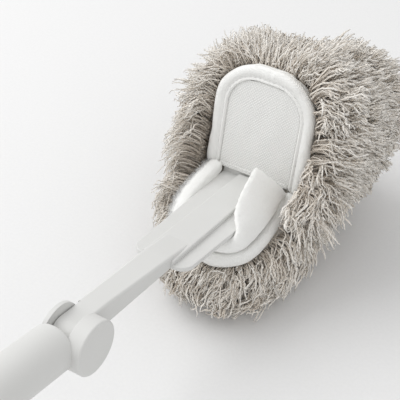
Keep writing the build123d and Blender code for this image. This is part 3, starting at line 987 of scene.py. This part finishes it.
def tuft_places(count):
    """Tips, normals and spine points of tufts spread evenly over the pile's surface."""
    surface, ends, is_pile = cast_surface(*PILE_GRID)
    corner_a, corner_b = surface[:-1], np.roll(surface, -1, axis=1)[:-1]
    corner_c, corner_d = surface[1:], np.roll(surface, -1, axis=1)[1:]
    normal = np.cross(corner_b - corner_a, corner_c - corner_a)
    area = np.linalg.norm(normal, axis=-1)
    middle = (corner_a + corner_b + corner_c + corner_d) / 4
    normal /= area[..., None] + 1e-15
    outward = middle - ends[:-1]
    normal *= np.sign(np.sum(normal * outward, axis=-1, keepdims=True))
    outward /= np.linalg.norm(outward, axis=-1, keepdims=True)
    normal = normal + outward
    normal /= np.linalg.norm(normal, axis=-1, keepdims=True)
    whole = is_pile[:-1] & is_pile[1:] & np.roll(is_pile, -1, axis=1)[:-1]
    whole &= np.roll(is_pile, -1, axis=1)[1:]
    weight = (area * whole).ravel()
    cells = dice.choice(len(weight), size=count, p=weight / weight.sum())
    a, b = dice.uniform(size=(2, count, 1))
    flat = [corner.reshape(-1, 3)[cells] for corner in (corner_a, corner_b, corner_c, corner_d)]
    tips = (flat[0] * (1 - a) + flat[1] * a) * (1 - b) + (flat[2] * (1 - a) + flat[3] * a) * b
    return tips, normal.reshape(-1, 3)[cells], ends[:-1].reshape(-1, 3)[cells]


STRAND_STEPS = 9
TUFTS = 3400
PER_TUFT = 8
MOST_STRANDS = 3900  # in one piece
TUFT_DEPTH = (20, 27)  # root below tip, in millimetres
FAN = np.array((3.3, 3.8, 2.1)) * MM  # spread of a tuft's tips: sideways, combed way, outwards
STRAND_RADIUS = (0.46 * MM, 0.68 * MM)
PROUD = np.array((5.5, 5.0, 6.0)) * MM  # how far yarns may pass the CAD nodes' box
SOFT_STOP = 4 * MM  # how softly they stop there
GROUND = 0.75 * MM  # lowest centre line


def part_way(values, start, end):
    """0 at the start, 1 at the end and in proportion between; the end may be the lower."""
    return np.clip((values - start) / (end - start), 0, 1)


def tuft_lift(tips, front, right_front):
    """How far each tuft's tip stands past the CAD surface, by its place, in millimetres."""
    x, y, z = (tips[:, k : k + 1] / MM for k in range(3))
    raised = right_front * part_way(z, 60, 100)
    low = part_way(z, 58, 23)
    left_crown = front * part_way(z, 85, 110) * part_way(x, 20, -10)
    nose = part_way(y, 195, 225)
    low_flank = front * low * part_way(x, 0, 40)
    beside_rim = part_way(x, 28, 36) * part_way(z, 48, 63)
    beside_rim = beside_rim * np.exp(-(((y - 106) / 16) ** 2))
    lumps = np.sin(tips @ dice.normal(size=(3, 6)) / (4.5 * MM) + dice.uniform(0, 6, 6))
    lift = 6.0 * raised - 7.0 * low - 7.0 * left_crown - 4.0 * nose
    lift = lift - 10.0 * low_flank - 11.0 * beside_rim
    lift = lift + 0.9 * lumps.sum(axis=1, keepdims=True)
    return lift + dice.normal(0.0, 2.6, (len(tips), 1))


def strand_lines():
    """Centre lines of all the pile's yarns, and each one's tuft tip."""
    tips, normal, inner = tuft_places(TUFTS)
    pocket_middle = pocket_to_world((0.0, 30 * MM, -10 * MM))
    away = unit(tips - pocket_middle) + np.array((0.0, 0.0, -0.35))
    comb = unit(away - normal * np.sum(away * normal, axis=1, keepdims=True))
    waves_at = tips @ dice.normal(size=(3, 9)) / (14 * MM) + dice.uniform(0, 6, 9)
    flow = np.sin(waves_at).reshape(-1, 3, 3).mean(axis=2)
    comb = unit(comb + 0.6 * flow + 0.16 * dice.normal(size=comb.shape))
    depth = dice.uniform(*TUFT_DEPTH, (TUFTS, 1)) * MM
    reach = np.linalg.norm(tips - inner, axis=1, keepdims=True)
    depth = np.minimum(depth, reach * 0.62)
    front = part_way(tips[:, 1:2], MOUTH[1], MOUTH[1] + 30 * MM)
    right_front = front * part_way(tips[:, :1], 10 * MM, 40 * MM)
    back = dice.uniform(8, 18, (TUFTS, 1)) * (1 - 0.65 * right_front) * MM
    roots = tips - normal * depth - comb * back
    tips = tips + normal * tuft_lift(tips, front, right_front) * MM

    pick = np.repeat(np.arange(TUFTS), PER_TUFT)
    total = len(pick)
    side = unit(np.cross(normal, comb))[pick]
    n, c = normal[pick], comb[pick]
    bunched = 1 - 0.45 * right_front[pick]
    fan = dice.normal(size=(total, 3)) * FAN * bunched
    tip = tips[pick] + side * fan[:, :1] + c * fan[:, 1:2] + n * fan[:, 2:]
    root = roots[pick] + dice.normal(size=(total, 3)) * 1.6 * MM
    first = root + n * depth[pick] * 0.95 - c * 1.0 * MM
    second = tip - c * dice.uniform(3, 9, (total, 1)) * MM - n * dice.uniform(1, 7, (total, 1)) * MM
    t = np.linspace(0, 1, STRAND_STEPS)[None, :, None]
    lines = (
        root[:, None] * (1 - t) ** 3
        + 3 * first[:, None] * t * (1 - t) ** 2
        + 3 * second[:, None] * t**2 * (1 - t)
        + tip[:, None] * t**3
    )
    shared = dice.uniform(0, 2 * np.pi, TUFTS)[pick]
    phase = (shared + dice.normal(0, 0.7, total))[:, None, None]
    turns = dice.uniform(0.3, 0.9, total)[:, None, None]
    curl = dice.uniform(0.3, 1.2, total)[:, None, None] * MM * t**1.2
    angle = 2 * np.pi * turns * t + phase
    lines = lines + curl * (side[:, None] * np.sin(angle) + n[:, None] * 0.7 * np.cos(angle))
    lines = lines + dice.normal(size=lines.shape) * (0.18 + 0.32 * t) * MM
    return lines, tips[pick]


def pile_pieces():
    """The pile's strands, one piece for each CAD pile node."""
    lines, tuft_tips = strand_lines()
    lines, deep_a = keep_out(
        lines, world_to_pocket, pocket_to_world,
        POCKET_HALF, POCKET_LENGTH, POCKET_ROUND, 1.0, -9.2 * MM, 1.3 * MM,
    )
    lines, deep_b = keep_out(
        lines, world_to_heel, heel_to_world,
        HEEL_HALF, HEEL_BACK, HEEL_ROUND, -1.0, -8.6 * MM, 2.8 * MM,
    )
    worst = np.maximum(deep_a, deep_b).max(axis=1)
    low, high = np.array(cad_low), np.array(cad_high)
    over = np.maximum(lines - (high + PROUD - SOFT_STOP), 0)
    under = np.maximum((low - PROUD * (1, 1, 0) + SOFT_STOP) - lines, 0) * (1, 1, 0)
    lines = lines - over + SOFT_STOP * (1 - np.exp(-over / SOFT_STOP))
    lines = lines + under - SOFT_STOP * (1 - np.exp(-under / SOFT_STOP))
    lines[..., 2] = np.maximum(lines[..., 2], GROUND)
    good = worst < 4.5 * MM
    lines, tuft_tips = lines[good], tuft_tips[good]
    fine = np.clip(0.5 - tuft_tips[:, :1] / (70 * MM), 0, 1)
    thick = dice.uniform(*STRAND_RADIUS, (len(lines), 1)) * (1 - 0.34 * fine)
    t = np.linspace(0, 1, STRAND_STEPS)[None]
    radii = thick * (0.85 + 0.25 * t) * (1 - 0.45 * np.clip((t - 0.85) / 0.15, 0, 1))
    tone = np.clip(dice.normal(0.5, 0.28, len(lines)), 0, 1)

    tree_of = {}
    for name in PILE_NODES:
        mesh = nodes[name].data
        tree_of[name] = BVHTree.FromPolygons(
            [v.co for v in mesh.vertices], [p.vertices for p in mesh.polygons]
        )
    nearest = []
    cache = {}
    for tip in tuft_tips:
        key = tuple(np.round(tip, 6))
        if key not in cache:
            gaps = [tree_of[name].find_nearest(Vector(tip))[3] for name in PILE_NODES]
            cache[key] = int(np.argmin(gaps))
        nearest.append(cache[key])
    nearest = np.array(nearest)
    for index, name in enumerate(PILE_NODES):
        mine = np.flatnonzero(nearest == index)
        shares = np.array_split(mine, int(np.ceil(len(mine) / MOST_STRANDS)))
        for number, share in enumerate(shares, start=1):
            piece_name = name.replace("pile", "yarns") + f"_{number}"
            mesh = tubes(piece_name, lines[share], radii[share], 3, tone[share])
            piece = new_piece(piece_name, mesh, pile_yarn)
            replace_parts(piece, name)


def core_piece():
    """Stuffed body that the yarns are sewn to, standing for the foam core; its dark colour is painted
    shade deep inside the pile.
    """
    rows, columns = CORE_GRID
    surface, ends, _ = cast_surface(rows, columns)
    reach = surface - ends
    length = np.linalg.norm(reach, axis=-1, keepdims=True)
    inset = np.minimum(CORE_INSET, length * 0.5)
    points = ends + reach / (length + 1e-12) * (length - inset)
    points, _ = keep_out(
        points, world_to_heel, heel_to_world,
        HEEL_HALF, HEEL_BACK, HEEL_ROUND, -1.0, -8.2 * MM, 0.0,
    )
    rough = mesh_from("core", points.reshape(-1, 3), ring_faces(rows, columns, flipped=True))
    mesh = voxel_copy(rough, 4.0 * MM, 1.0 * MM, 4)
    points = coordinates(mesh)
    local = world_to_pocket(points)
    in_front = (local[:, 2] > -9.6 * MM) & (local[:, 1] > -2 * MM)
    local[in_front, 2] = -9.6 * MM
    points = pocket_to_world(local)
    local = world_to_heel(points)
    above = (local[:, 2] > -8.0 * MM) & (world_to_pocket(points)[:, 2] > -9.5 * MM)
    local[above, 2] = -8.0 * MM
    set_coordinates(mesh, heel_to_world(local))
    swell(mesh, 3.0, 2.0 * MM, 15.0)
    piece = new_piece("stuffed_core", mesh, core_wadding)
    subdivide(piece, 1)
    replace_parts(piece, "foam_core")


core_piece()
pile_pieces()

# ---- camera, light and floor -------------------------------------------------------------
camera_data = bpy.data.cameras.new("camera")
camera_data.lens = 90.0
camera_data.sensor_width = 36.0
camera_place = (0.2176, -0.2928, 0.4536)
camera_data.clip_start = 0.01
camera = bpy.data.objects.new("camera", camera_data)
scene.collection.objects.link(camera)
right, up, back = (0.851, 0.525, 0.0), (-0.347, 0.5624, 0.7505), (0.394, -0.6387, 0.6609)
turn = Matrix((right, up, back)).transposed().to_4x4()
camera.matrix_world = Matrix.Translation(camera_place) @ turn
scene.camera = camera

FLOOR_HALF = 30.0
floor_corners = [(x * FLOOR_HALF, y * FLOOR_HALF, 0) for x, y in ((-1, -1), (1, -1), (1, 1), (-1, 1))]
floor_mesh = mesh_from("floor", floor_corners, [(0, 1, 2, 3)])
floor_material, floor_tree, floor_shader, floor_place = new_material("paper_floor")
paper = noise(floor_tree, floor_place, 500.0, 3.0)
paper_stops = ((0.3, (0.79, 0.79, 0.79)), (0.7, (0.81, 0.81, 0.81)))
floor_tree.links.new(ramp(floor_tree, paper, paper_stops), floor_shader.inputs["Base Color"])
floor_shader.inputs["Roughness"].default_value = 0.8
floor_mesh.materials.append(floor_material)
floor = bpy.data.objects.new("floor", floor_mesh)
scene.collection.objects.link(floor)


def area_light(name, place, target, size, power):
    """A large soft light that looks at a point."""
    data = bpy.data.lights.new(name, "AREA")
    data.shape = "DISK"
    data.size = size
    data.energy = power
    light = bpy.data.objects.new(name, data)
    light.location = place
    light.rotation_mode = "QUATERNION"
    light.rotation_quaternion = (Vector(target) - Vector(place)).to_track_quat("-Z", "Y")
    scene.collection.objects.link(light)


area_light("key", (-1.15, -0.08, 1.3), (0, 0.1, 0.03), 1.8, 17.5)
area_light("fill", (0.9, -0.7, 1.2), (0, 0.1, 0.05), 1.2, 2.2)
world = bpy.data.worlds.new("world")
scene.world = world
world.use_nodes = True
world.node_tree.nodes["Background"].inputs["Color"].default_value = (1.0, 1.0, 1.0, 1.0)
world.node_tree.nodes["Background"].inputs["Strength"].default_value = 0.715
scene.view_settings.view_transform = "Standard"
scene.cycles.diffuse_bounces = 10
